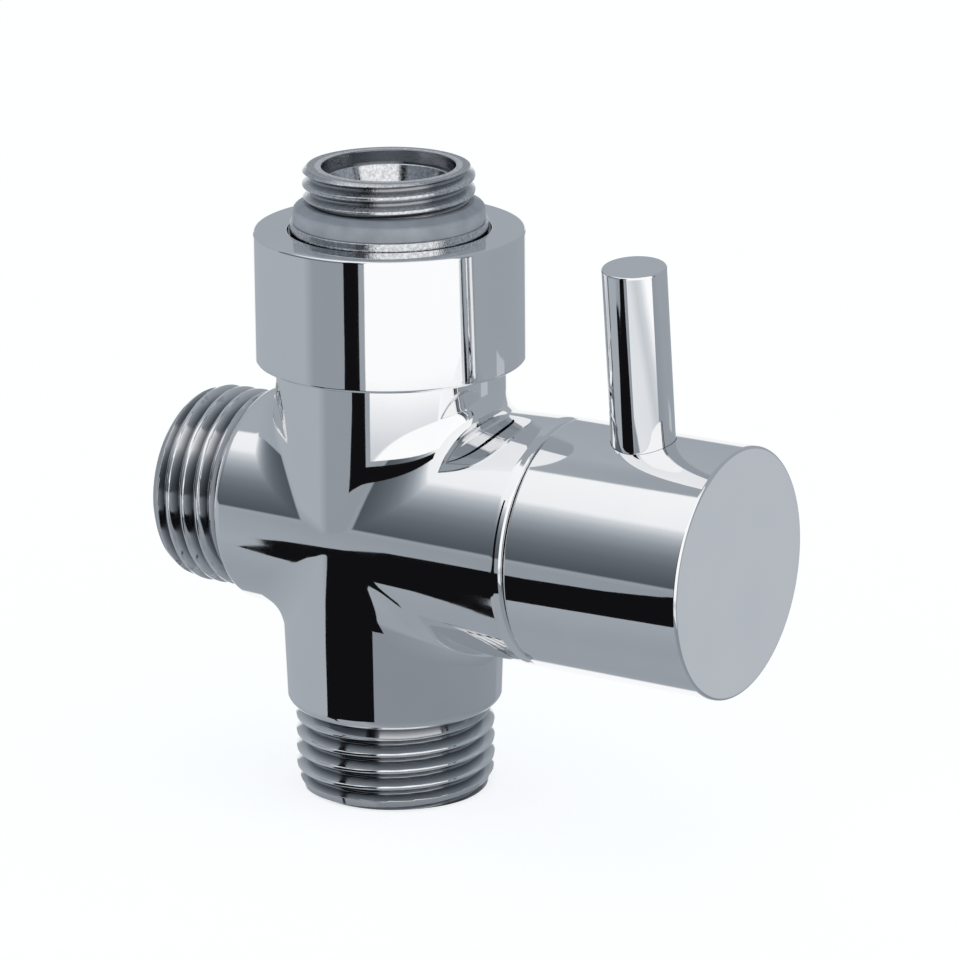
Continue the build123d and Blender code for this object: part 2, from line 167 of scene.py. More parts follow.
def outline(corners, closed, arc_steps=8):
    """The runs of a profile, each as its points and their normals in (radius, height).

    corners are (radius, height, rounding), walked with the material on the left, so that the
    normal is the direction of travel turned a quarter turn to the right. A corner that turns by
    t is rounded from r tan(t / 2) before it, about a centre that is r to the left of the travel,
    or to the right at an inner corner.
    """
    corners = np.array([(*corner, 0)[:3] for corner in corners], float)
    place, rounding = corners[:, :2], corners[:, 2]
    sides = len(place) if closed else len(place) - 1
    travel = np.roll(place, -1, axis=0) - place
    travel /= np.linalg.norm(travel, axis=1, keepdims=True)
    before = np.roll(travel, 1, axis=0)
    bend = before[:, 0] * travel[:, 1] - before[:, 1] * travel[:, 0]
    turn = np.arctan2(bend, (before * travel).sum(axis=1))
    cut = rounding * np.tan(np.abs(turn) / 2)
    right = np.stack([travel[:, 1], -travel[:, 0]], axis=1)
    runs = []
    for k in range(sides):
        after = (k + 1) % len(place)
        start = place[k] + cut[k] * travel[k]
        end = place[after] - cut[after] * travel[k]
        runs.append((np.array([start, end]), np.array([right[k], right[k]])))
        if rounding[after] > 0:
            first = math.atan2(right[k][1], right[k][0])
            angles = first + np.linspace(0, turn[after], arc_steps + 1)
            normals = np.stack([np.cos(angles), np.sin(angles)], axis=1)
            reach = np.sign(turn[after]) * rounding[after]
            runs.append((end - reach * right[k] + reach * normals, normals))
    return runs


def carried_round(profile, angles):
    """(radius, height) pairs carried round the axis."""
    return polar(profile[:, :1], angles, profile[:, 1:])


def turned(corners, angles, closed=False):
    """A lathed skin about Z, one patch for each run of its profile."""
    return [grid(carried_round(points, angles), carried_round(normals, angles))
            for points, normals in outline(corners, closed)]


rod = turned([(1, 0), (1, 5, 0.2), (0, 5)], ring_angles(8))
print("a rod's end takes", len(rod), "patches")

# %% [markdown]
# ## Screw threads
# A thread is also a surface over a grid: its radius depends on the height and on the angle,
# because the crest climbs one pitch in a turn. Pipe threads have flanks at 27.5 degrees and
# eased crests and roots, and metric ones 30 degrees and sharper corners. One formula serves both:
# a straight flank, cut off softly at the root and at the crest. The true normal comes from the
# formula's own slopes, so the fine grid only has to carry the outline.
# %% Threads
# Threads: crest radius, pitch, flank angle in degrees, and depth and easing of the corners as
# shares of the pitch
PIPE_THREAD = {"crest": 10.4775, "pitch": 1.814, "flank": 27.5, "depth": 0.6403, "ease": 0.035}
INLET_THREAD = {"crest": 8.9, "pitch": 1.5, "flank": 30.0, "depth": 0.5333, "ease": 0.04}


def soft_least(a, b, ease):
    """The smaller of two values, with the corner between them eased."""
    return (a + b - np.sqrt((a - b) ** 2 + ease ** 2)) / 2


def thread_height(turns, thread):
    """Height over the root, as a share of the pitch, at a number of turns past a crest."""
    from_crest = np.abs((turns + 0.5) % 1 - 0.5)
    flank = thread["depth"] / 2 + (0.25 - from_crest) / math.tan(math.radians(thread["flank"]))
    over_root = -soft_least(-flank, 0 * flank, thread["ease"])
    return np.clip(soft_least(over_root, thread["depth"], thread["ease"]), 0, thread["depth"])


def threaded(thread, start, end, first_crest, limit, angles, row_step=0.07, nudge=0.001):
    """A threaded stretch about Z. Its radius is f(h, a) = root + pitch * thread height at
    (h - first crest) / pitch - a / full turn, and at most limit(h), which cuts the chamfer and
    the run-out. The normal is (radial) - (df/da) / f (round) - (df/dh) (along). The slopes are
    taken from f a nudge to each side."""
    root = thread["crest"] - thread["depth"] * thread["pitch"]

    def radius(height, angle):
        turns = (height - first_crest) / thread["pitch"] - angle / FULL_TURN
        full = root + thread["pitch"] * thread_height(turns, thread)
        return np.maximum(np.minimum(full, limit(height)), root)

    rows = int((end - start) / row_step) + 2
    height = np.linspace(start, end, rows)[:, None]
    angle = angles[None, :]
    reach = radius(height, angle)
    climb = (radius(height + nudge, angle) - radius(height - nudge, angle)) / (2 * nudge)
    swing = (radius(height, angle + nudge) - radius(height, angle - nudge)) / (2 * nudge)
    flat = 0 * reach
    radial = polar(1, angle, flat)
    around = np.stack([-radial[..., 1], radial[..., 0], flat], axis=-1)
    normals = radial - (swing / reach)[..., None] * around - climb[..., None] * UP
    normals /= np.linalg.norm(normals, axis=-1, keepdims=True)
    return grid(polar(reach, angle, height), normals)


def rim_ring(outer_row, inner_r):
    """A level ring that faces +Z, from a row of points inwards to a circle at their angles."""
    angles = np.arctan2(outer_row[:, 1], outer_row[:, 0])
    return grid(np.stack([outer_row, polar(inner_r, angles, outer_row[:, 2])]), UP)


for name, thread in (("pipe", PIPE_THREAD), ("inlet", INLET_THREAD)):
    heights = thread_height(np.array([0, 0.5]), thread) * thread["pitch"]
    print(name, "thread: crest", heights[0].round(3), "and root", heights[1].round(3), "mm")

# %% [markdown]
# ## Tubes with holes
# The cross tube has two big holes where the upright tube joins it, its chamber has two bores,
# and the knob has a seat for the lever and a hole for its screw. In each case a tube about X is
# gridded in two halves, left and right of the holes. Each column of a half runs straight along
# the tube from the hole's edge, or from the line between the holes, to the tube's end.
# %% Holes in a tube
def hole_edge(tube_r, hole_r, station, side, angles):
    """Where a round hole about Z meets a tube about X: z = side * sqrt(R^2 - (r sin a)^2)."""
    y = hole_r * np.sin(angles)
    z = side * np.sqrt(tube_r ** 2 - y ** 2)
    return np.stack([station + hole_r * np.cos(angles), y, z], axis=-1)


def half_edge(upper, lower, right, column_step=math.radians(1.6)):
    """The inner edge of the right or left half of a tube, as stations and angles about X. It
    follows the upper hole, a band down the front, the lower hole and a band up the back."""
    half = len(upper) // 2
    over = upper[half::-1] if right else upper[half:]
    under = lower[:half + 1] if right else lower[:half - 1:-1]
    over = np.column_stack([over[:, 0], np.arctan2(over[:, 2], over[:, 1])])
    under = np.column_stack([under[:, 0], np.arctan2(under[:, 2], under[:, 1]) + FULL_TURN])
    back_start = under[-1] - (0, FULL_TURN)
    bands = []
    for first, last in ((back_start, over[0]), (over[-1], under[0])):
        steps = int((last[1] - first[1]) / column_step) + 2
        bands.append(np.linspace(first, last, steps)[:-1])
    return np.concatenate([bands[0], over[:-1], bands[1], under]).T


def holed_tube(radius, taper, start, end, upper, lower, rows=14):
    """Both halves of a tube about its own Z (which is placed along X), and their columns' angles.
    At height h its radius is radius + taper * h, and its normal leans back by the taper."""
    patches, columns = [], []
    for right in (False, True):
        station, angles = half_edge(upper, lower, right)
        share = np.linspace(0, 1, rows)[:, None]
        height = station + (end - station) * share if right else start + (station - start) * share
        reach = radius + taper * height
        normal = polar(1, angles, -taper) / math.hypot(1, taper)
        patches.append(grid(polar(reach, angles, height), normal))
        columns.append(angles)
    return patches, columns


def bore_wall(radius, top, bottom, angles, rows=6):
    """The wall of a round hole about Z, facing its axis, between two heights at each angle."""
    share = np.linspace(0, 1, rows)[:, None]
    height = top + (bottom - top) * share
    return grid(polar(radius, angles, height), -polar(1, angles, 0 * height))


def zipped(outer_r, outer_angles, inner_r, inner_angles, height):
    """A flat ring that faces +Z and joins two circles whose columns don't match. Going round,
    each next point of either circle closes one triangle with the last point of the other. Both
    lists of angles start near the same direction, grow, and end a whole turn later."""
    outer, inner = outer_angles[:-1], inner_angles[:-1]
    steps = np.concatenate([outer_angles[1:], inner_angles[1:]])
    is_outer = np.arange(len(steps)) < len(outer)
    order = np.argsort(steps, kind="stable")
    is_outer = is_outer[order]
    on_outer = np.cumsum(is_outer)
    on_inner = np.cumsum(~is_outer)
    new_outer = on_outer % len(outer)
    new_inner = len(outer) + on_inner % len(inner)
    old_outer = (on_outer - 1) % len(outer)
    old_inner = len(outer) + (on_inner - 1) % len(inner)
    first = np.where(is_outer, old_outer, new_outer)
    second = np.where(is_outer, new_outer, new_inner)
    third = np.where(is_outer, new_inner, old_inner)
    turns = np.concatenate([outer, inner])
    radius = np.repeat([outer_r, inner_r], [len(outer), len(inner)])
    faces = np.stack([first, second, third, third], axis=-1)
    return polar(radius, turns, height), np.tile(UP, (len(turns), 1)), faces


print("a hole of 1 in a tube of 2 dips to z", hole_edge(2, 1, 0, 1, math.pi / 2)[2].round(3))

# %% [markdown]
# ## Sewing
# All patches of a piece are joined into one closed mesh: points that agree to a millionth of a
# millimetre become one vertex, and a face that lost a corner that way becomes a triangle. The
# patches' own normals are handed to the mesh as custom normals, so that a rounding flows into
# the flat beside it and a machined edge stays crisp.
# %% Make a piece from patches
def sew(name, patches, body, node_name, axes=UPRIGHT):
    """One mesh object from patches in millimetres round the crossing, riding on a body in place
    of a CAD node."""
    patches = placed(patches, axes, (0, 0, crossing_z))
    counts = np.cumsum([0] + [len(points) for points, _, _ in patches])
    points = np.concatenate([points for points, _, _ in patches])
    normals = np.concatenate([normals for _, normals, _ in patches])
    faces = np.concatenate([faces + first for (_, _, faces), first in zip(patches, counts)])
    places, merged = np.unique(np.round(points, 6) + 0.0, axis=0, return_inverse=True)
    merged = merged.reshape(-1)[faces]
    kept = merged != np.roll(merged, -1, axis=1)
    solid = kept.sum(axis=1) > 2
    faces, merged, kept = faces[solid], merged[solid], kept[solid]
    sides = kept.sum(axis=1)
    mesh = bpy.data.meshes.new(name)
    mesh.vertices.add(len(places))
    mesh.vertices.foreach_set("co", (places * MM).astype(np.float32).ravel())
    mesh.loops.add(int(sides.sum()))
    mesh.loops.foreach_set("vertex_index", merged[kept].astype(np.int32))
    mesh.polygons.add(len(faces))
    mesh.polygons.foreach_set("loop_start", (np.cumsum(sides) - sides).astype(np.int32))
    mesh.polygons.foreach_set("use_smooth", np.ones(len(faces), bool))
    mesh.update(calc_edges=True)
    mesh.normals_split_custom_set(normals[faces[kept]])
    piece = bpy.data.objects.new(name, mesh)
    scene.collection.objects.link(piece)
    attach(piece, body)
    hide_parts(node_name)
    loop_edges = np.zeros(len(mesh.loops), np.int32)
    mesh.loops.foreach_get("edge_index", loop_edges)
    open_edges = (np.bincount(loop_edges, minlength=len(mesh.edges)) != 2).sum()
    print(name, (sides - 2).sum(), "triangles,", open_edges, "open edges")
    return piece


# %% [markdown]
# ## The body's crossing
# The body is one brass casting: an upright tube and a slightly wider cross tube, both a little
# tapered so that they leave the mould, with a rounded inner corner where they meet. A boolean
# and a bevel would leave ragged facets there, and chrome would show them. The rounding is
# instead the path of a ball that rolls along the corner and touches both tubes, and that grows
# towards the front and the back, where the polishing wheel reaches. The ball's centre, its two
# points of contact and the arc between them are all worked out, column by column, and the
# tubes' own columns start from those contact points. The taper turns the contact a little away
# from the front, so the columns are laid with one at each turning point.
# %% The rounded corner between the tubes
HALF_COLUMNS = 96
SIDE_BLEND_R = 2.0
FRONT_BLEND_R = 12.0
turning_point = math.pi / 2 + math.atan(RUN_TAPER)
body_angles = np.concatenate([
    np.linspace(-turning_point, turning_point, HALF_COLUMNS + 1),
    np.linspace(turning_point, FULL_TURN - turning_point, HALF_COLUMNS + 1)[1:],
])


def rolled_corner(side, steps=16, halvings=50):
    """The rounding above (side 1) or below (side -1) the cross tube.

    The ball's radius b grows from the sides to the front and back by the fourth power of the
    sine. Its centre is b * sqrt(1 + taper^2) further from each tube's axis than the tube's own
    radius there. Its height is found by halving an interval. The arc's normals are a straight
    blend of the two tubes' normals, made one long. Returns the patch, the points and normals of
    contact on the upright tube, and the points of contact on the cross tube.
    """
    across, up = np.cos(body_angles), np.sin(body_angles)
    taper = NECK_TAPER if side > 0 else LOWER_TAPER
    ball = SIDE_BLEND_R + (FRONT_BLEND_R - SIDE_BLEND_R) * up ** 4
    near, far = 0 * across, 0 * across + side * 2 * RUN_R
    for _ in range(halvings):
        z = (near + far) / 2
        reach = UPRIGHT_R + taper * z + ball * math.hypot(1, taper)
        x, y = reach * across, reach * up
        clear = np.hypot(y, z) > RUN_R + RUN_TAPER * x + ball * math.hypot(1, RUN_TAPER)
        far = np.where(clear, z, far)
        near = np.where(clear, near, z)
    centre = np.stack([x, y, z], axis=-1)
    on_upright = polar(1, body_angles, -taper) / math.hypot(1, taper)
    from_axis = np.hypot(y, z)
    on_run = np.stack([0 * x - RUN_TAPER, y / from_axis, z / from_axis], axis=-1)
    on_run /= math.hypot(1, RUN_TAPER)
    share = np.linspace(*((1, 0) if side > 0 else (0, 1)), steps + 1)[:, None, None]
    blended = (1 - share) * on_upright + share * on_run
    blended /= np.linalg.norm(blended, axis=-1, keepdims=True)
    ball = ball[:, None]
    patch = grid(centre - ball * blended, blended)
    return patch, centre - ball * on_upright, on_upright, centre - ball * on_run


def cone_rows(contact, normals, height, upward, rows=10):
    """The upright tube between its contact curve and a level circle."""
    share = np.linspace(0, 1, rows)[:, None] if upward else np.linspace(1, 0, rows)[:, None]
    z = contact[:, 2] + (height - contact[:, 2]) * share
    reach = UPRIGHT_R + (NECK_TAPER if upward else LOWER_TAPER) * z
    return grid(polar(reach, body_angles, z), normals)


upper_corner, upper_contact, upper_normals, upper_edge = rolled_corner(1)
lower_corner, lower_contact, lower_normals, lower_edge = rolled_corner(-1)
contact_z = upper_contact[:, 2]
print("contact heights from", contact_z.min().round(2), "to", contact_z.max().round(2))

# %% [markdown]
# ## The outlets
# Both outlets are cut in the same way: a shoulder with a rounded edge, a groove where the
# cutting tool ran out, the thread, a lead-in that lets a hose nut find its way, and a flat end.
# So one function makes both, about its own Z, and only the sizes differ.
# %% The screwed outlets
SHOULDER_ROUND = 1.2
pipe_root = PIPE_THREAD["crest"] - PIPE_THREAD["depth"] * PIPE_THREAD["pitch"]
THREAD_RELIEF = 0.35
RELIEF_RISE = 1.4
END_EASE = 0.25
END_FLAT_R = 8.6
SIDE_CREST = -22.3
LOWER_CREST = -26.55
LOWER_LEAD = {"length": 2.0, "drop": 0.68, "power": 1.0}
SIDE_LEAD = {"length": 3.4, "drop": 0.95, "power": 2.5}


def outlet_limit(shoulder, end, lead):
    """The cap on the thread's radius: a rise out of the groove near the shoulder, a long lead-in
    that drops by drop * (1 - distance from the end / length) ** power, and an eased edge."""
    def limit(height):
        out_of_groove = pipe_root + RELIEF_RISE * np.maximum(shoulder - THREAD_RELIEF - height, 0)
        left_over = np.clip(1 - (height - end) / lead["length"], 0, 1)
        lead_in = PIPE_THREAD["crest"] - lead["drop"] * left_over ** lead["power"]
        edge = PIPE_THREAD["crest"] - lead["drop"] - END_EASE / 2 + (height - end)
        return np.minimum(np.minimum(out_of_groove, lead_in), edge)
    return limit


def outlet(shoulder, end, bore_r, bore_top, wall_r, wall_end, angles, first_crest, lead):
    """A screwed outlet about Z that points down, from its bore to the tube above its shoulder."""
    inner = [(bore_r, bore_top), (bore_r, end, END_EASE), (END_FLAT_R, end)]
    outer = [
        (pipe_root, shoulder), (wall_r(shoulder), shoulder, SHOULDER_ROUND),
        (wall_r(wall_end), wall_end),
    ]
    limit = outlet_limit(shoulder, end, lead)
    screw = threaded(PIPE_THREAD, end, shoulder, first_crest, limit, angles)
    end_face = inside_out([rim_ring(screw[0][:len(angles)], END_FLAT_R)])
    return turned(inner, angles) + end_face + [screw] + turned(outer, angles)


print("pipe thread's root radius", round(pipe_root, 3), "mm")

# %% [markdown]
# ## The body's arms and inside
# The rest of the body is turned too: a neck with the spigot that the collar swivels on, and an
# open end for the gland nut behind the knob. Inside, the plug's chamber lies along X and three
# bores reach it. They are modelled too, because both outlets can be looked into, and a mesh
# with real walls can be cut, weighed or printed.
# %% The body
TOP_BORE_R = 6.0
LOWER_BORE_R = 7.2
SIDE_BORE_R = 6.5
CHAMBER_R = 8.6
CHAMBER_LEFT = -9.0
GLAND_R = 10.0
GLAND_START = 11.15
SPIGOT_R = 9.35
GROOVE_R = 8.6
GROOVE_LOW = 18.45
GROOVE_HIGH = 19.95
RIM_BEVEL_LENGTH = 1.0
RIM_BEVEL_DROP = 0.3
RIM_BEND_R = 2.0
RIM_ROUND = 0.5
LEVEL_GAP = 2.0
NECK_GAP = 1.4
neck_start = NECK_TOP - NECK_GAP
lower_start = LOWER_SHOULDER + LEVEL_GAP
side_start = SIDE_SHOULDER + LEVEL_GAP
knob_side_start = knob_tube_end - LEVEL_GAP


def run_wall(height):
    """The cross tube's radius at a station along X."""
    return RUN_R + RUN_TAPER * height


def upright_wall(height):
    """The upright tube's radius at a height."""
    return UPRIGHT_R + (NECK_TAPER if height > 0 else LOWER_TAPER) * height


upper_bore_edge = hole_edge(CHAMBER_R, TOP_BORE_R, 0, 1, body_angles)
lower_bore_edge = hole_edge(CHAMBER_R, LOWER_BORE_R, 0, -1, body_angles)
lower_bore_top = lower_bore_edge[:, 2].min() - 1
run_skin, (left_angles, right_angles) = holed_tube(
    RUN_R, RUN_TAPER, side_start, knob_side_start, upper_edge, lower_edge)
chamber, (chamber_left, chamber_right) = holed_tube(
    CHAMBER_R, 0, CHAMBER_LEFT, GLAND_START, upper_bore_edge, lower_bore_edge, rows=4)
rim_bevel_x = knob_tube_end - RIM_BEVEL_LENGTH
knob_side = [
    (run_wall(knob_side_start), knob_side_start),
    (run_wall(rim_bevel_x), rim_bevel_x, RIM_BEND_R),
    (run_wall(knob_tube_end) - RIM_BEVEL_DROP, knob_tube_end, RIM_ROUND),
    (GLAND_R, knob_tube_end), (GLAND_R, GLAND_START),
]
spigot = [
    (upright_wall(neck_start), neck_start), (upright_wall(NECK_TOP), NECK_TOP),
    (SPIGOT_R, NECK_TOP), (SPIGOT_R, GROOVE_LOW), (GROOVE_R, GROOVE_LOW),
    (GROOVE_R, GROOVE_HIGH), (SPIGOT_R, GROOVE_HIGH),
    (SPIGOT_R, spigot_top, END_EASE), (TOP_BORE_R, spigot_top),
]
along_x = run_skin + inside_out(chamber)
along_x += outlet(SIDE_SHOULDER, side_end, SIDE_BORE_R, CHAMBER_LEFT, run_wall, side_start,
                  left_angles, SIDE_CREST, SIDE_LEAD)
along_x += turned(knob_side, right_angles)
along_x.append(zipped(CHAMBER_R, chamber_left, SIDE_BORE_R, left_angles, CHAMBER_LEFT))
along_x.append(zipped(GLAND_R, right_angles, CHAMBER_R, chamber_right, GLAND_START))
along_z = [
    upper_corner,
    lower_corner,
    cone_rows(upper_contact, upper_normals, neck_start, True),
    cone_rows(lower_contact, lower_normals, lower_start, False),
    bore_wall(TOP_BORE_R, spigot_top, upper_bore_edge[:, 2], body_angles),
]
along_z += turned(spigot, body_angles)
along_z += outlet(LOWER_SHOULDER, lower_end, LOWER_BORE_R, lower_bore_top, upright_wall,
                  lower_start, body_angles, LOWER_CREST, LOWER_LEAD)
along_z.append(bore_wall(LOWER_BORE_R, lower_bore_edge[:, 2], lower_bore_top, body_angles))
valve_patches = placed(along_x, ALONG_X) + along_z
valve_skin = sew("valve_skin", valve_patches, "valve", "valve_body")

# %% [markdown]
# ## Collar and washer
# The collar is the smooth nut that the wall fitting is held by. It is a plain turned ring, so
# its whole look is in its two eased edges and in what its wide face mirrors. The pale washer
# lies on the adapter's flange; its outer edge is worn round, and a thin lip of it stands up
# round the thread.
# %% The collar and the inlet washer
COLLAR_ROUND = 0.35
COLLAR_BORE_R = 10.5275
COLLAR_LIP_R = 9.43
COLLAR_LIP = 1.6
WASHER_BORE_R = 8.15
WASHER_ROUND = 0.5
WASHER_LIP_WIDTH = 0.6
WASHER_INSET = 0.25
ring_columns = ring_angles(256)
collar_profile = [
    (COLLAR_LIP_R, collar_bottom, FINE_EDGE), (collar_r, collar_bottom, COLLAR_ROUND),
    (collar_r, collar_top, COLLAR_ROUND), (COLLAR_BORE_R, collar_top, TURNED_EDGE),
    (COLLAR_BORE_R, collar_bottom + COLLAR_LIP), (COLLAR_LIP_R, collar_bottom + COLLAR_LIP),
]
washer_profile = [
    (WASHER_BORE_R, flange_top, FINE_EDGE), (washer_r - WASHER_INSET, flange_top, FINE_EDGE),
    (washer_r - WASHER_INSET, washer_plane, WASHER_ROUND),
    (WASHER_BORE_R + WASHER_LIP_WIDTH, washer_lip_top, SOFT_EDGE),
    (WASHER_BORE_R, washer_lip_top, FINE_EDGE),
]
collar_patches = turned(collar_profile, ring_columns, closed=True)
collar_skin = sew("collar_skin", collar_patches, "inlet", "collar")
washer_patches = turned(washer_profile, ring_columns, closed=True)
washer_skin = sew("washer_skin", washer_patches, "inlet", "inlet_washer")

# %% [markdown]
# ## The inlet adapter
# The adapter is not polished. It is cut from bar, threaded and plated dull, with a flange that
# carries the washer, a short fine thread and a bowl inside its mouth. Its thread is a patch of
# its own between two turned profiles. The thread is cut off by the rim in mid-turn, so the rim's
# flat ring takes its outer edge from the thread's last row.
# %% The adapter
ADAPTER_BORE_R = 4.8
ADAPTER_THREAD_TOP = 4.4
FLANGE_R = 10.1975
FLANGE_THICKNESS = 2.4
MOUTH_R = 6.9
MOUTH_DEPTH = 1.4
BOWL_R = 6.4
BOWL_DEPTH = 4.6
INLET_CHAMFER = 0.5
RIM_FLAT_R = 7.4
INLET_CREST = 35.98
INLET_RISE = 1.2
INLET_ROW_STEP = 0.045
inlet_root = INLET_THREAD["crest"] - INLET_THREAD["depth"] * INLET_THREAD["pitch"]
rim_outer = INLET_THREAD["crest"] - INLET_CHAMFER


def inlet_limit(height):
    """The cap on the inlet thread: a rise over the washer, and the chamfer at the rim."""
    over_washer = inlet_root + INLET_RISE * np.maximum(height - washer_lip_top, 0)
    return np.minimum(over_washer, rim_outer + (inlet_rim - height))


pipe_r = PIPE_THREAD["crest"]
bowl_top = inlet_rim - MOUTH_DEPTH
thread_top = adapter_bottom + ADAPTER_THREAD_TOP
below_thread = [
    (ADAPTER_BORE_R, adapter_bottom), (pipe_root, adapter_bottom),
    (pipe_r, adapter_bottom + pipe_r - pipe_root), (pipe_r, thread_top), (pipe_root, thread_top),
    (pipe_root, flange_top - FLANGE_THICKNESS),
    (FLANGE_R, flange_top - FLANGE_THICKNESS, FINE_EDGE),
    (FLANGE_R, flange_top, TURNED_EDGE), (inlet_root, flange_top), (inlet_root, washer_lip_top),
]
mouth = [
    (RIM_FLAT_R, inlet_rim), (MOUTH_R, inlet_rim, TURNED_EDGE), (MOUTH_R, bowl_top),
    (BOWL_R, bowl_top, SOFT_EDGE), (ADAPTER_BORE_R, bowl_top - BOWL_DEPTH),
    (ADAPTER_BORE_R, adapter_bottom),
]
inlet_screw = threaded(INLET_THREAD, washer_lip_top, inlet_rim, INLET_CREST, inlet_limit,
                       ring_columns, row_step=INLET_ROW_STEP)
inlet_face = rim_ring(inlet_screw[0][-len(ring_columns):], RIM_FLAT_R)
adapter_patches = turned(below_thread, ring_columns) + [inlet_screw, inlet_face]
adapter_patches += turned(mouth, ring_columns)
adapter_skin = sew("adapter_skin", adapter_patches, "inlet", "inlet_adapter")

# %% [markdown]
# ## Knob, lever and the grub screw's hole
# The knob is a closed cup, turned and plated. Its lever stands in a seat that is sunk into the
# knob's round wall, so the foot of the lever meets a curved edge; that edge is the hole of a
# holed tube. Both are shaped with the lever upright and then lean with it about the knob's axis.
# %% The knob and its lever
LEVER_LEAN = math.radians(6.0)
KNOB_ROUND = 0.3
KNOB_CAVITY_R = 11.1
KNOB_CAVITY_DEPTH = 6.3
SOCKET_R = 3.65
SOCKET_DEPTH = 15.0
LEVER_R = 3.3
LEVER_X = knob_start + 9.62
LEVER_FOOT = 12.0
LEVER_TOP = 31.4
LEVER_SHANK_END = 7.0
LEVER_ROUND = 0.25
SEAT_R = 3.35
SCREW_HOLE_R = 2.05
SHANK_R = 2.0
SHANK_ROUND = 0.2
GRUB_X = knob_start + 11.0
GRUB_HOLE_END = 3.9
lean = [
    (1, 0, 0),
    (0, math.cos(LEVER_LEAN), math.sin(LEVER_LEAN)),
    (0, -math.sin(LEVER_LEAN), math.cos(LEVER_LEAN)),
]
hole_columns = ring_angles(96)
lever_edge = hole_edge(knob_r, SEAT_R, LEVER_X, 1, hole_columns)
grub_edge = hole_edge(knob_r, SCREW_HOLE_R, GRUB_X, -1, hole_columns)
knob_wall, (knob_angles, _) = holed_tube(
    knob_r, 0, knob_start + LEVEL_GAP, knob_face - LEVEL_GAP, lever_edge, grub_edge, rows=10)
cavity_end = knob_start + KNOB_CAVITY_DEPTH
socket_end = knob_start + SOCKET_DEPTH
knob_back = [
    (0, socket_end), (SOCKET_R, socket_end), (SOCKET_R, cavity_end), (KNOB_CAVITY_R, cavity_end),
    (KNOB_CAVITY_R, knob_start), (knob_r, knob_start, KNOB_ROUND), (knob_r, knob_start + LEVEL_GAP),
]
knob_front = [(knob_r, knob_face - LEVEL_GAP), (knob_r, knob_face, KNOB_ROUND), (0, knob_face)]
seat = [
    (SEAT_R, LEVER_FOOT), (SCREW_HOLE_R, LEVER_FOOT), (SCREW_HOLE_R, LEVER_SHANK_END),
    (0, LEVER_SHANK_END),
]
seat_wall = bore_wall(SEAT_R, lever_edge[:, 2], LEVER_FOOT, hole_columns)
grub_wall = bore_wall(SCREW_HOLE_R, -grub_edge[:, 2], GRUB_HOLE_END, hole_columns)
grub_floor = turned([(SCREW_HOLE_R, GRUB_HOLE_END), (0, GRUB_HOLE_END)], hole_columns)
knob_ends = turned(knob_back, knob_angles) + turned(knob_front, knob_angles)
knob_patches = placed(knob_wall + knob_ends, ALONG_X)
knob_patches += placed([seat_wall] + turned(seat, hole_columns), UPRIGHT, (LEVER_X, 0, 0))
knob_patches += placed([grub_wall] + grub_floor, UPSIDE_DOWN, (GRUB_X, 0, 0))
knob_skin = sew("knob_skin", knob_patches, "knob", "knob", lean)

lever_profile = [
    (0, LEVER_SHANK_END), (SHANK_R, LEVER_SHANK_END, SHANK_ROUND), (SHANK_R, LEVER_FOOT),
    (LEVER_R, LEVER_FOOT, TURNED_EDGE), (LEVER_R, LEVER_TOP, LEVER_ROUND), (0, LEVER_TOP),
]
lever_patches = placed(turned(lever_profile, hole_columns), UPRIGHT, (LEVER_X, 0, 0))
lever_skin = sew("lever_skin", lever_patches, "knob", "lever", lean)

# %% [markdown]
# ## Finishes
# A material is a small net of nodes. The helpers below each add one node, or a few, and hand
# back the socket that carries their result, so that a finish reads like a recipe. All patterns
# read Object coordinates, so that they stay on the metal as it moves.
# %% Node helpers
def wire(tree, target, sockets):
    """Link or set a node's inputs, each given by its name or its number."""
    for key, value in sockets.items():
        if isinstance(value, bpy.types.NodeSocket):
            tree.links.new(value, target.inputs[key])
        else:
            target.inputs[key].default_value = value


def node(tree, kind, sockets=(), **settings):
    """A new node of a kind, with its settings and inputs."""
    made = tree.nodes.new(kind)
    for key, value in settings.items():
        setattr(made, key, value)
    wire(tree, made, dict(sockets))
    return made


def new_finish(name):
    """A material with its Principled shader and the object's own coordinates."""
    finish = bpy.data.materials.new(name)
    finish.use_nodes = True
    tree = finish.node_tree
    place = node(tree, "ShaderNodeTexCoord").outputs["Object"]
    return finish, tree, tree.nodes["Principled BSDF"], place


def noise(tree, place, size_mm, detail=2.0, stretch=(1, 1, 1)):
    """Noise with lumps of about a size, stretched along an axis where its factor is small."""
    scale = [factor / (size_mm * MM) for factor in stretch]
    mapping = node(tree, "ShaderNodeMapping", {"Vector": place, "Scale": scale})
    sockets = {"Vector": mapping.outputs["Vector"], "Scale": 1.0, "Detail": detail}
    return node(tree, "ShaderNodeTexNoise", sockets).outputs["Fac"]


NOISE_LOW = 0.3
NOISE_HIGH = 0.7


def spread(tree, value, low, high, from_low=NOISE_LOW, from_high=NOISE_HIGH):
    """A value's range spread from low to high, and held there beyond it."""
    sockets = {"Value": value, "From Min": from_low, "From Max": from_high,
               "To Min": low, "To Max": high}
    return node(tree, "ShaderNodeMapRange", sockets).outputs["Result"]


def tint(tree, value, dark, light):
    """A colour between two, by noise."""
    ramp = node(tree, "ShaderNodeValToRGB", {"Fac": value})
    ends = ((NOISE_LOW, dark), (NOISE_HIGH, light))
    for element, (position, colour) in zip(ramp.color_ramp.elements, ends):
        element.position = position
        element.color = (*colour, 1)
    return ramp.outputs["Color"]


def layered(tree, share, under, over):
    """One colour over another. A Mix node's colours are inputs 6 and 7 and output 2."""
    sockets = {"Factor": share, 6: under, 7: over}
    return node(tree, "ShaderNodeMix", sockets, data_type="RGBA").outputs[2]


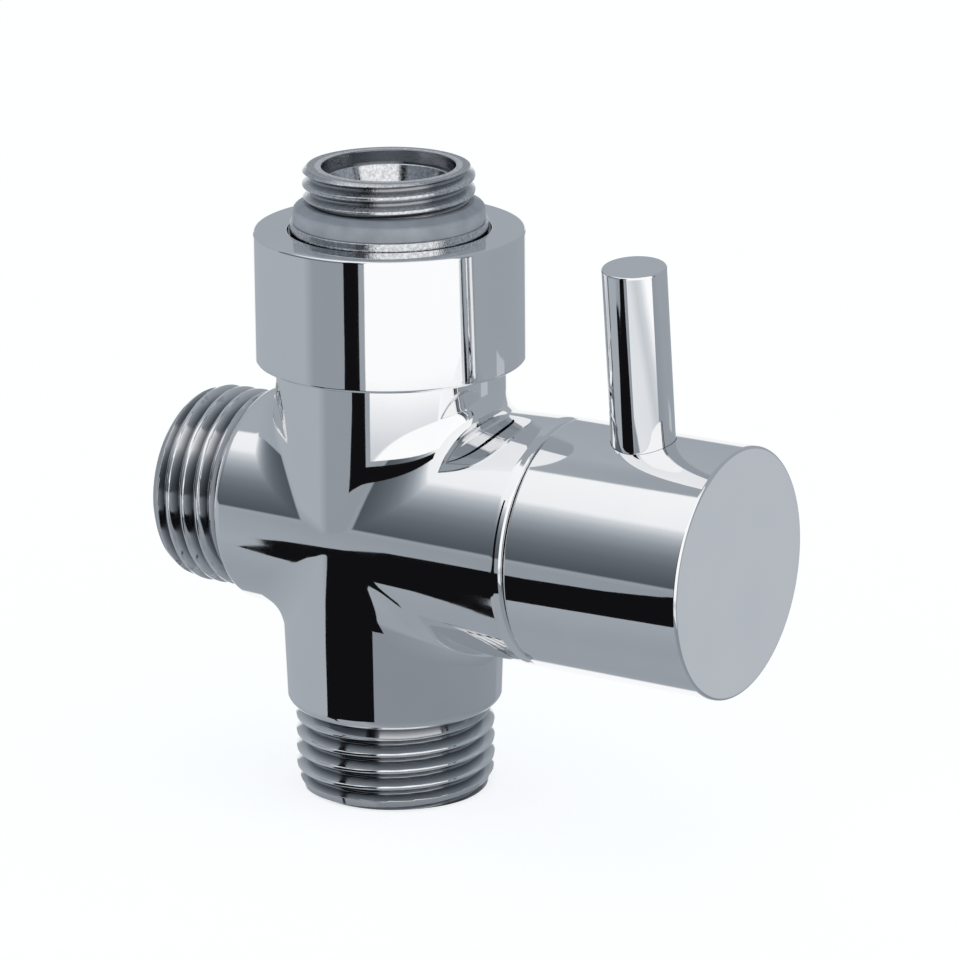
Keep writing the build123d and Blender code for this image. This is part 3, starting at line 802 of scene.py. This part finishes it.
def bump(tree, height, depth_mm, strength=1.0, under=None):
    """A bump of a given depth, on top of another bump if one is given."""
    sockets = {"Height": height, "Strength": strength, "Distance": depth_mm * MM}
    if under is not None:
        sockets["Normal"] = under
    return node(tree, "ShaderNodeBump", sockets).outputs["Normal"]


def calculate(tree, operation, *values):
    """A Math node on sockets or numbers."""
    made = node(tree, "ShaderNodeMath", enumerate(values), operation=operation)
    return made.outputs["Value"]


def between(tree, value, low, high, soft):
    """1 where a value lies between low and high, falling to 0 over the given softness."""
    rise = spread(tree, value, 0, 1, low - soft / 2, low + soft / 2)
    fall = spread(tree, value, 1, 0, high - soft / 2, high + soft / 2)
    return calculate(tree, "MULTIPLY", rise, fall)


# %% [markdown]
# ## Depth in the threads
# The valleys of a plated thread are painted darker than its crests: this is painted shade, laid
# where the valleys' own shade falls.
# How deep a point lies is told by its distance from the thread's axis.
# %% Distance from an axis, and valleys
def about_axis(tree, place, axis, centre):
    """The place along X (axis 0) or Z (axis 2), and the distance from the line through centre."""
    parts = node(tree, "ShaderNodeSeparateXYZ", {"Vector": place}).outputs
    across = calculate(tree, "SUBTRACT", parts["XYZ"[2 - axis]], centre)
    squares = [calculate(tree, "MULTIPLY", value, value) for value in (across, parts["Y"])]
    return parts["XYZ"[axis]], calculate(tree, "SQRT", calculate(tree, "ADD", *squares))


# Painted shade: the darker colours laid into thread valleys and, with VALLEY_SHADE, onto the
# adapter's mouth wall.
VALLEY_SHADE = (0.3, 0.31, 0.33, 1)
DULL_VALLEY_SHADE = (0.35, 0.36, 0.38, 1)
VALLEY_EDGE = 0.06
THREAD_BAND = 1.3


def valley(tree, place, axis, centre, beyond, thread, depth_mm):
    """1 in the valleys of a thread and 0 on its crests. The thread begins at beyond (in metres)
    and leads away from the valve."""
    # This mask sets where painted shade darkens the valleys (and, on chrome, where the finish is
    # rougher).
    crest = thread["crest"]
    along, radius = about_axis(tree, place, axis, centre)
    sunk = spread(tree, radius, 1, 0, (crest - depth_mm) * MM, (crest - VALLEY_EDGE) * MM)
    on_thread = calculate(tree, "GREATER_THAN", radius, (crest - THREAD_BAND) * MM)
    sunk = calculate(tree, "MULTIPLY", sunk, on_thread)
    outside = calculate(tree, "LESS_THAN" if beyond < 0 else "GREATER_THAN", along, beyond)
    return calculate(tree, "MULTIPLY", sunk, outside)


print("valleys start", VALLEY_EDGE, "mm under a crest")

# %% [markdown]
# ## Chrome and dull plating
# Chrome is almost all reflection, so its material is short: a metal with a faint waviness left by
# the polishing wheel and a roughness that is never quite even, with painted shade in its thread
# valleys. The dull plating of the adapter shows the lathe's fine rings and a sparkling grain, and
# its mouth is dark inside from painted shade on its wall, as are its thread valleys.
# %% The plated finishes
CHROME_REFLECTION = 0.9


def chrome():
    """Polished plating: a long faint wave, a fine skin, and an uneven but low roughness."""
    finish, tree, shader, place = new_finish("chrome")
    colour = tint(tree, noise(tree, place, 5.0), (0.885, 0.89, 0.9), (0.905, 0.905, 0.91))
    lower_start_m = (crossing_z + LOWER_SHOULDER) * MM
    lower = valley(tree, place, 2, 0.0, lower_start_m, PIPE_THREAD, 1.1)
    side = valley(tree, place, 0, crossing_z * MM, SIDE_SHOULDER * MM, PIPE_THREAD, 1.1)
    sunk = calculate(tree, "MAXIMUM", lower, side)
    polish = spread(tree, noise(tree, place, 2.5, 4.0), 0.02, 0.05)
    wave = bump(tree, noise(tree, place, 6.0, 1.0), 0.006)
    wire(tree, shader, {
        "Metallic": 1.0,
        # Painted shade: the thread valleys are coloured VALLEY_SHADE.
        "Base Color": layered(tree, sunk, colour, VALLEY_SHADE),
        "Roughness": calculate(tree, "MULTIPLY_ADD", sunk, 0.12, polish),
        "Normal": bump(tree, noise(tree, place, 0.7, 2.0), 0.0004, under=wave),
    })
    return finish


def dull_plating():
    """Machined and thinly plated brass: turning rings along Z and a coarse sparkling grain, which
    fades in the bowl, with a dark wall in the mouth that is painted shade, and painted shade in the
    thread valleys."""
    finish, tree, shader, place = new_finish("dull_plating")
    colour = tint(tree, noise(tree, place, 0.3, 4.0), (0.5, 0.51, 0.53), (0.86, 0.87, 0.89))
    thread_start_m = (crossing_z + washer_lip_top) * MM
    # Painted shade in the inlet thread's valleys.
    sunk = valley(tree, place, 2, 0.0, thread_start_m, INLET_THREAD, 0.8)
    colour = layered(tree, sunk, colour, DULL_VALLEY_SHADE)
    _, radius = about_axis(tree, place, 2, 0.0)
    # Painted shade on the mouth's inner wall, between the bowl and the rim; it is coloured
    # VALLEY_SHADE below.
    wall = between(tree, radius, (BOWL_R + 0.2) * MM, (MOUTH_R + 0.07) * MM, 0.02 * MM)
    grain = spread(tree, radius, 0.08, 0.7, (BOWL_R - 0.1) * MM, (MOUTH_R + 0.3) * MM)
    rings = bump(tree, noise(tree, place, 0.18, 2.0, stretch=(0.03, 0.03, 1)), 0.01, 0.6)
    wire(tree, shader, {
        "Metallic": 1.0,
        "Base Color": layered(tree, wall, colour, VALLEY_SHADE),
        "Roughness": spread(tree, noise(tree, place, 0.35, 3.0), 0.06, 0.22),
        "Normal": bump(tree, noise(tree, place, 0.16, 3.0), 0.03, grain, under=rings),
    })
    return finish


CHROME = chrome()
DULL_PLATING = dull_plating()
print("chrome has", len(CHROME.node_tree.nodes), "nodes")

# %% [markdown]
# ## Rubber, plastic, brass and steel
# The pieces inside are seen only through the outlets. Rubber and plastic are mottled with a
# matt skin, and bare turned metal has tool marks that run round its axis.
# %% The other finishes
def soft_finish(name, dark, light, size_mm, roughness, depth_mm):
    """Rubber or plastic: a mottled colour with a fine matt skin."""
    finish, tree, shader, place = new_finish(name)
    wire(tree, shader, {
        "Base Color": tint(tree, noise(tree, place, size_mm, 3.0), dark, light),
        "Roughness": spread(tree, noise(tree, place, size_mm / 3), *roughness),
        "Normal": bump(tree, noise(tree, place, size_mm / 8, 2.0), depth_mm, 0.5),
    })
    return finish


def machined(name, dark, light, stretch):
    """Bare turned metal: a mottled colour and tool marks that run round the axis."""
    finish, tree, shader, place = new_finish(name)
    wire(tree, shader, {
        "Metallic": 1.0,
        "Base Color": tint(tree, noise(tree, place, 1.5, 3.0), dark, light),
        "Roughness": spread(tree, noise(tree, place, 0.8), 0.2, 0.35),
        "Normal": bump(tree, noise(tree, place, 0.15, 2.0, stretch=stretch), 0.01, 0.5),
    })
    return finish


PALE_RUBBER = soft_finish(
    "pale_rubber", (0.48, 0.5, 0.53), (0.6, 0.62, 0.66), 2.0, (0.4, 0.55), 0.01)
BLACK_RUBBER = soft_finish(
    "black_rubber", (0.012, 0.012, 0.013), (0.025, 0.025, 0.026), 1.5, (0.5, 0.7), 0.01)
WHITE_PLASTIC = soft_finish(
    "white_plastic", (0.66, 0.66, 0.63), (0.74, 0.74, 0.71), 3.0, (0.3, 0.42), 0.004)
BRASS = machined("bare_brass", (0.66, 0.46, 0.2), (0.76, 0.56, 0.28), (1, 0.03, 0.03))
STEEL = machined("spring_steel", (0.42, 0.42, 0.43), (0.55, 0.55, 0.56), (0.05, 0.05, 1))

for skin in (valve_skin, collar_skin, knob_skin, lever_skin):
    skin.data.materials.append(CHROME)
adapter_skin.data.materials.append(DULL_PLATING)
washer_skin.data.materials.append(PALE_RUBBER)
seals = ["union_washer", "gland_gasket", "plug_o_ring", "stem_o_ring_inner", "stem_o_ring_outer"]
inner_finishes = [
    (BLACK_RUBBER, seals),
    (WHITE_PLASTIC, ["side_seat", "thrust_washer", "stop_ring", "diverter_plug"]),
    (BRASS, ["gland_nut", "stem"]),
    (STEEL, ["collar_ring", "grub_screw"]),
]
for finish, node_names in inner_finishes:
    for node_name in node_names:
        mesh = frame["nodes"][node_name].data
        mesh.materials.clear()
        mesh.materials.append(finish)
    print(finish.name, "on", len(node_names), "inner nodes")

# %% [markdown]
# ## Camera
# The camera's place was found by fitting the drawing's outlines to the photograph: a long lens
# from half a metre away, a little above the valve and to its right.
# %% The camera
CAMERA_PLACE = (0.286637, -0.445471, 0.132156)
CAMERA_AZIMUTH = math.radians(31.7738)
CAMERA_HEIGHT = math.radians(16.9662)
CAMERA_ROLL = math.radians(-0.4391)
SENSOR_WIDTH = 36.0
LENS = 199.44
NEAREST_SEEN = 0.01
camera_data = bpy.data.cameras.new("camera")
camera_data.sensor_width = SENSOR_WIDTH
camera_data.lens = LENS
camera_data.clip_start = NEAREST_SEEN
camera = bpy.data.objects.new("camera", camera_data)
scene.collection.objects.link(camera)
back = np.array([
    math.sin(CAMERA_AZIMUTH) * math.cos(CAMERA_HEIGHT),
    -math.cos(CAMERA_AZIMUTH) * math.cos(CAMERA_HEIGHT),
    math.sin(CAMERA_HEIGHT),
])
level = np.array([math.cos(CAMERA_AZIMUTH), math.sin(CAMERA_AZIMUTH), 0.0])
above = np.cross(back, level)
right_hand = math.cos(CAMERA_ROLL) * level + math.sin(CAMERA_ROLL) * above
overhead = -math.sin(CAMERA_ROLL) * level + math.cos(CAMERA_ROLL) * above
pose = np.eye(4)
pose[:3] = np.column_stack([right_hand, overhead, back, CAMERA_PLACE])
camera.matrix_world = Matrix(pose.tolist())
scene.camera = camera
print("camera stands", np.linalg.norm(CAMERA_PLACE).round(3), "m from the frame's origin")

# %% [markdown]
# ## Light by its mirror image
# In a photo of chrome, what is bright or dark is the studio that the metal mirrors. Each wall,
# light and card here is therefore set by the grey that its mirror image has to show. The world
# is a grey room for the metal and plain white for the camera.
# %% Display values, glowing finishes and the world
def linear(display):
    """The light that shows as a display value from 0 to 255."""
    share = display / 255
    return share / 12.92 if share <= 0.04045 else ((share + 0.055) / 1.055) ** 2.4


def emitted(display):
    """The emission whose mirror image in chrome shows as the given display colour."""
    return (*[linear(value) / CHROME_REFLECTION for value in display], 1)


def cool(grey):
    """A slightly blue grey, as a mirrored studio shows it; black and white stay neutral."""
    share = grey / 255
    blue = 28 * share * (1 - share)
    return grey - blue, grey, grey + blue


def bare_finish(name):
    """A material without nodes but the object's own coordinates."""
    finish = bpy.data.materials.new(name)
    finish.use_nodes = True
    tree = finish.node_tree
    tree.nodes.clear()
    return finish, tree, node(tree, "ShaderNodeTexCoord").outputs["Object"]


def shine(tree, colour):
    """The end of a glowing finish. Its colour is a socket or four numbers."""
    light = node(tree, "ShaderNodeEmission", {"Color": colour})
    node(tree, "ShaderNodeOutputMaterial", {"Surface": light.outputs["Emission"]})


def graded(tree, value, stops):
    """Light that changes with a value, through (value, grey) stops."""
    low, high = stops[0][0], stops[-1][0]
    ramp = node(tree, "ShaderNodeValToRGB", {"Fac": spread(tree, value, 0, 1, low, high)})
    elements = ramp.color_ramp.elements
    while len(elements) < len(stops):
        elements.new(1.0)
    for element, (place, grey) in zip(elements, stops):
        element.position = (place - low) / (high - low)
        element.color = emitted(cool(grey))
    return ramp.outputs["Color"]


WHITE = (1, 1, 1, 1)
world = bpy.data.worlds.new("studio_air")
scene.world = world
world.use_nodes = True
air = world.node_tree
air.nodes.clear()
rays = node(air, "ShaderNodeLightPath")
room = node(air, "ShaderNodeBackground", {"Color": emitted((150, 158, 166))})
backdrop = node(air, "ShaderNodeBackground", {"Color": WHITE})
choose = node(air, "ShaderNodeMixShader", {
    "Fac": rays.outputs["Is Camera Ray"], 1: room.outputs[0], 2: backdrop.outputs[0]})
node(air, "ShaderNodeOutputWorld", {"Surface": choose.outputs["Shader"]})
scene.view_settings.view_transform = "Standard"
print("a mirrored grey of 157 takes a light of", round(emitted(cool(157))[1], 3))

# %% [markdown]
# ## Floor
# The valve stands on a plain pale table. It glows a little, so that it meets the white behind
# it without a seam, and it is diffuse, so that the valve's own soft shadow stays on it.
# %% The floor
FLOOR_REACH = 1.5
TABLE_GLOW = 0.72
TABLE_COLOUR = (0.8, 0.8, 0.8, 1)
STAND = lower_end * MM + pivot[2]


def studio_piece(name, corners, faces, finish):
    """A part of the studio from its corners in metres."""
    mesh = bpy.data.meshes.new(name)
    mesh.from_pydata(corners, [], faces)
    mesh.materials.append(finish)
    sheet = bpy.data.objects.new(name, mesh)
    scene.collection.objects.link(sheet)
    return sheet


table, tree, _ = bare_finish("table")
matt = node(tree, "ShaderNodeBsdfDiffuse", {"Color": TABLE_COLOUR})
white = node(tree, "ShaderNodeEmission", {"Color": WHITE, "Strength": TABLE_GLOW})
lit = node(tree, "ShaderNodeAddShader", {0: matt.outputs["BSDF"], 1: white.outputs[0]})
node(tree, "ShaderNodeOutputMaterial", {"Surface": lit.outputs["Shader"]})
floor_corners = [
    (x * FLOOR_REACH, y * FLOOR_REACH, STAND) for x, y in ((-1, -1), (1, -1), (1, 1), (-1, 1))
]
floor = studio_piece("floor", floor_corners, [(0, 1, 2, 3)], table)
floor.visible_glossy = False
print("floor at z", round(STAND / MM, 2), "mm")

# %% [markdown]
# ## Painted room
# A far wall can be painted by direction alone, so one big sphere serves for all of them. Its
# grey has soft panes of other greys, which run through several tones from low to high. The dark
# pane in front, which brightens upwards, gives each level tube its grey band.
# %% The room
def only_mirrored(sheet):
    """Hide a part of the studio from all but mirrors."""
    sheet.visible_camera = False
    sheet.visible_diffuse = False
    sheet.visible_shadow = False


def painted_room(base, panes):
    """A finish that paints a room by direction: a grey, and panes laid over it. A pane is
    (azimuth range, elevation range, softness of its edges, (elevation, grey) stops). Azimuth
    is atan2(x, -y) and elevation asin(z) of the unit direction, in degrees."""
    finish, tree, place = bare_finish("room")
    unit = node(tree, "ShaderNodeVectorMath", {0: place}, operation="NORMALIZE")
    parts = node(tree, "ShaderNodeSeparateXYZ", {"Vector": unit.outputs["Vector"]}).outputs
    front = calculate(tree, "MULTIPLY", parts["Y"], -1.0)
    azimuth = calculate(tree, "DEGREES", calculate(tree, "ARCTAN2", parts["X"], front))
    elevation = calculate(tree, "DEGREES", calculate(tree, "ARCSINE", parts["Z"]))
    colour = node(tree, "ShaderNodeRGB").outputs[0]
    colour.default_value = emitted(cool(base))
    for azimuths, elevations, soft, stops in panes:
        share = calculate(tree, "MULTIPLY", between(tree, azimuth, *azimuths, soft),
                          between(tree, elevation, *elevations, soft))
        colour = layered(tree, share, colour, graded(tree, elevation, stops))
    shine(tree, colour)
    return finish


ROOM_R = 3.0
ROOM_GREY = 157
DARK_PANE = [(-4, 82), (4, 92), (12, 104), (20, 122), (28, 150), (34, 178), (41, 222), (48, 238)]
PANES = [
    ((-130, -20), (-60, -2), 12, [(-60, 152), (-15, 170)]),
    ((-40, 12), (-30, -3), 10, [(-30, 150), (-3, 148)]),
    ((-200, -20), (-2, 60), 4, [(-2, 160), (60, 168)]),
    ((0, 170), (-95, -12), 6, [(-95, 152), (-24, 138), (-17, 156), (-12, 156)]),
    ((-167, -129), (-48, 8), 3, [(-48, 245), (8, 240)]),
    ((-72, 13), (-4, 48), 1.5, DARK_PANE),
    ((-76, 100), (41, 80), 3, [(41, 238), (80, 246)]),
    ((93, 96), (-16, 40), 0.5, [(-16, 25), (40, 25)]),
    ((100.5, 104), (-16, 40), 0.5, [(-16, 25), (40, 25)]),
]
bpy.ops.mesh.primitive_uv_sphere_add(segments=48, ring_count=24, radius=ROOM_R)
room_shell = bpy.context.object
room_shell.name = "room"
room_shell.data.materials.append(painted_room(ROOM_GREY, PANES))
only_mirrored(room_shell)
print("room with", len(PANES), "panes")

# %% [markdown]
# ## Near light and cards
# What stands close to the valve slides over it from point to point, so it draws edges that a
# far wall can't: the tall soft light bent round the right side, the grey card that the knob's
# face sees, and the black card in front. The black card's outline was traced back from the
# dark T that the photographed tubes show: each of its corners is where the ray from the camera
# lands after the tube has mirrored it.
# %% The soft light and the two cards
def arc_card(name, azimuths, radius, low, high, stops, steps=24):
    """An upright lit card bent round the valve, between two azimuths and two heights in metres.
    The stops are (height, grey) pairs that its light is graded by."""
    turns = np.radians(np.linspace(*azimuths, steps + 1))
    ends = np.stack([radius * np.sin(turns), -radius * np.cos(turns)], axis=-1)
    rows = [np.column_stack([ends, 0 * turns + height]) for height in (low, high)]
    index = np.arange(2 * (steps + 1)).reshape(2, -1)
    faces = np.stack([index[0, :-1], index[0, 1:], index[1, 1:], index[1, :-1]], axis=-1)
    finish, tree, place = bare_finish(name)
    parts = node(tree, "ShaderNodeSeparateXYZ", {"Vector": place})
    shine(tree, graded(tree, parts.outputs["Z"], stops))
    sheet = studio_piece(name, np.concatenate(rows).tolist(), faces.tolist(), finish)
    only_mirrored(sheet)


def card(name, corners, display):
    """A flat card of one display colour, with the given corners in metres."""
    finish, tree, _ = bare_finish(name)
    shine(tree, emitted(display))
    only_mirrored(studio_piece(name, corners, [tuple(range(len(corners)))], finish))


LIGHT_LOW = -0.106
LIGHT_HIGH = 0.17
SOFT_LIGHT = [
    (LIGHT_LOW, 226), (-0.085, 222), (-0.076, 200), (-0.070, 210), (-0.062, 251),
    (LIGHT_HIGH, 253),
]
arc_card("soft_light", (12, 92), 0.18, LIGHT_LOW, LIGHT_HIGH, SOFT_LIGHT)

FACE_CARD = np.array([0.087, 0.083, -0.064])
FACE_CARD_SIDE = np.array([-0.83, 0.46, 0.0]) * 0.012
FACE_CARD_UP = np.array([0.0, 0.0, 0.019])
face_corners = [
    (FACE_CARD + i * FACE_CARD_SIDE + j * FACE_CARD_UP).tolist()
    for i, j in ((-1, -1), (1, -1), (1, 1), (-1, 1))
]
card("face_card", face_corners, cool(184))

DARK_CARD_Y = -0.110
DARK_CARD = [
    (15.5, 80), (15.5, -58), (21.8, -75), (21.8, -101), (-1, -103), (-20, -112), (-62, -128),
    (-76, -140), (-90, -168), (-100, -192), (-115, -232), (-137, -280), (-148, -290),
    (-152, -280), (-132, -239), (-119, -208), (-113, -188), (-118, -184), (-124, -160),
    (-121, -145), (-104, -118), (-97, -100), (-90, -92), (-78, -84), (-68, -71), (-60, -68.5),
    (-50, -66.5), (-44, -65), (-34, -65), (-22, -61), (-14, -54), (-9, -46), (-8, -40), (-8, 80),
]
card("dark_card", [(x * MM, DARK_CARD_Y, z * MM) for x, z in DARK_CARD], (16, 16, 18))
print("dark card with", len(DARK_CARD), "corners")
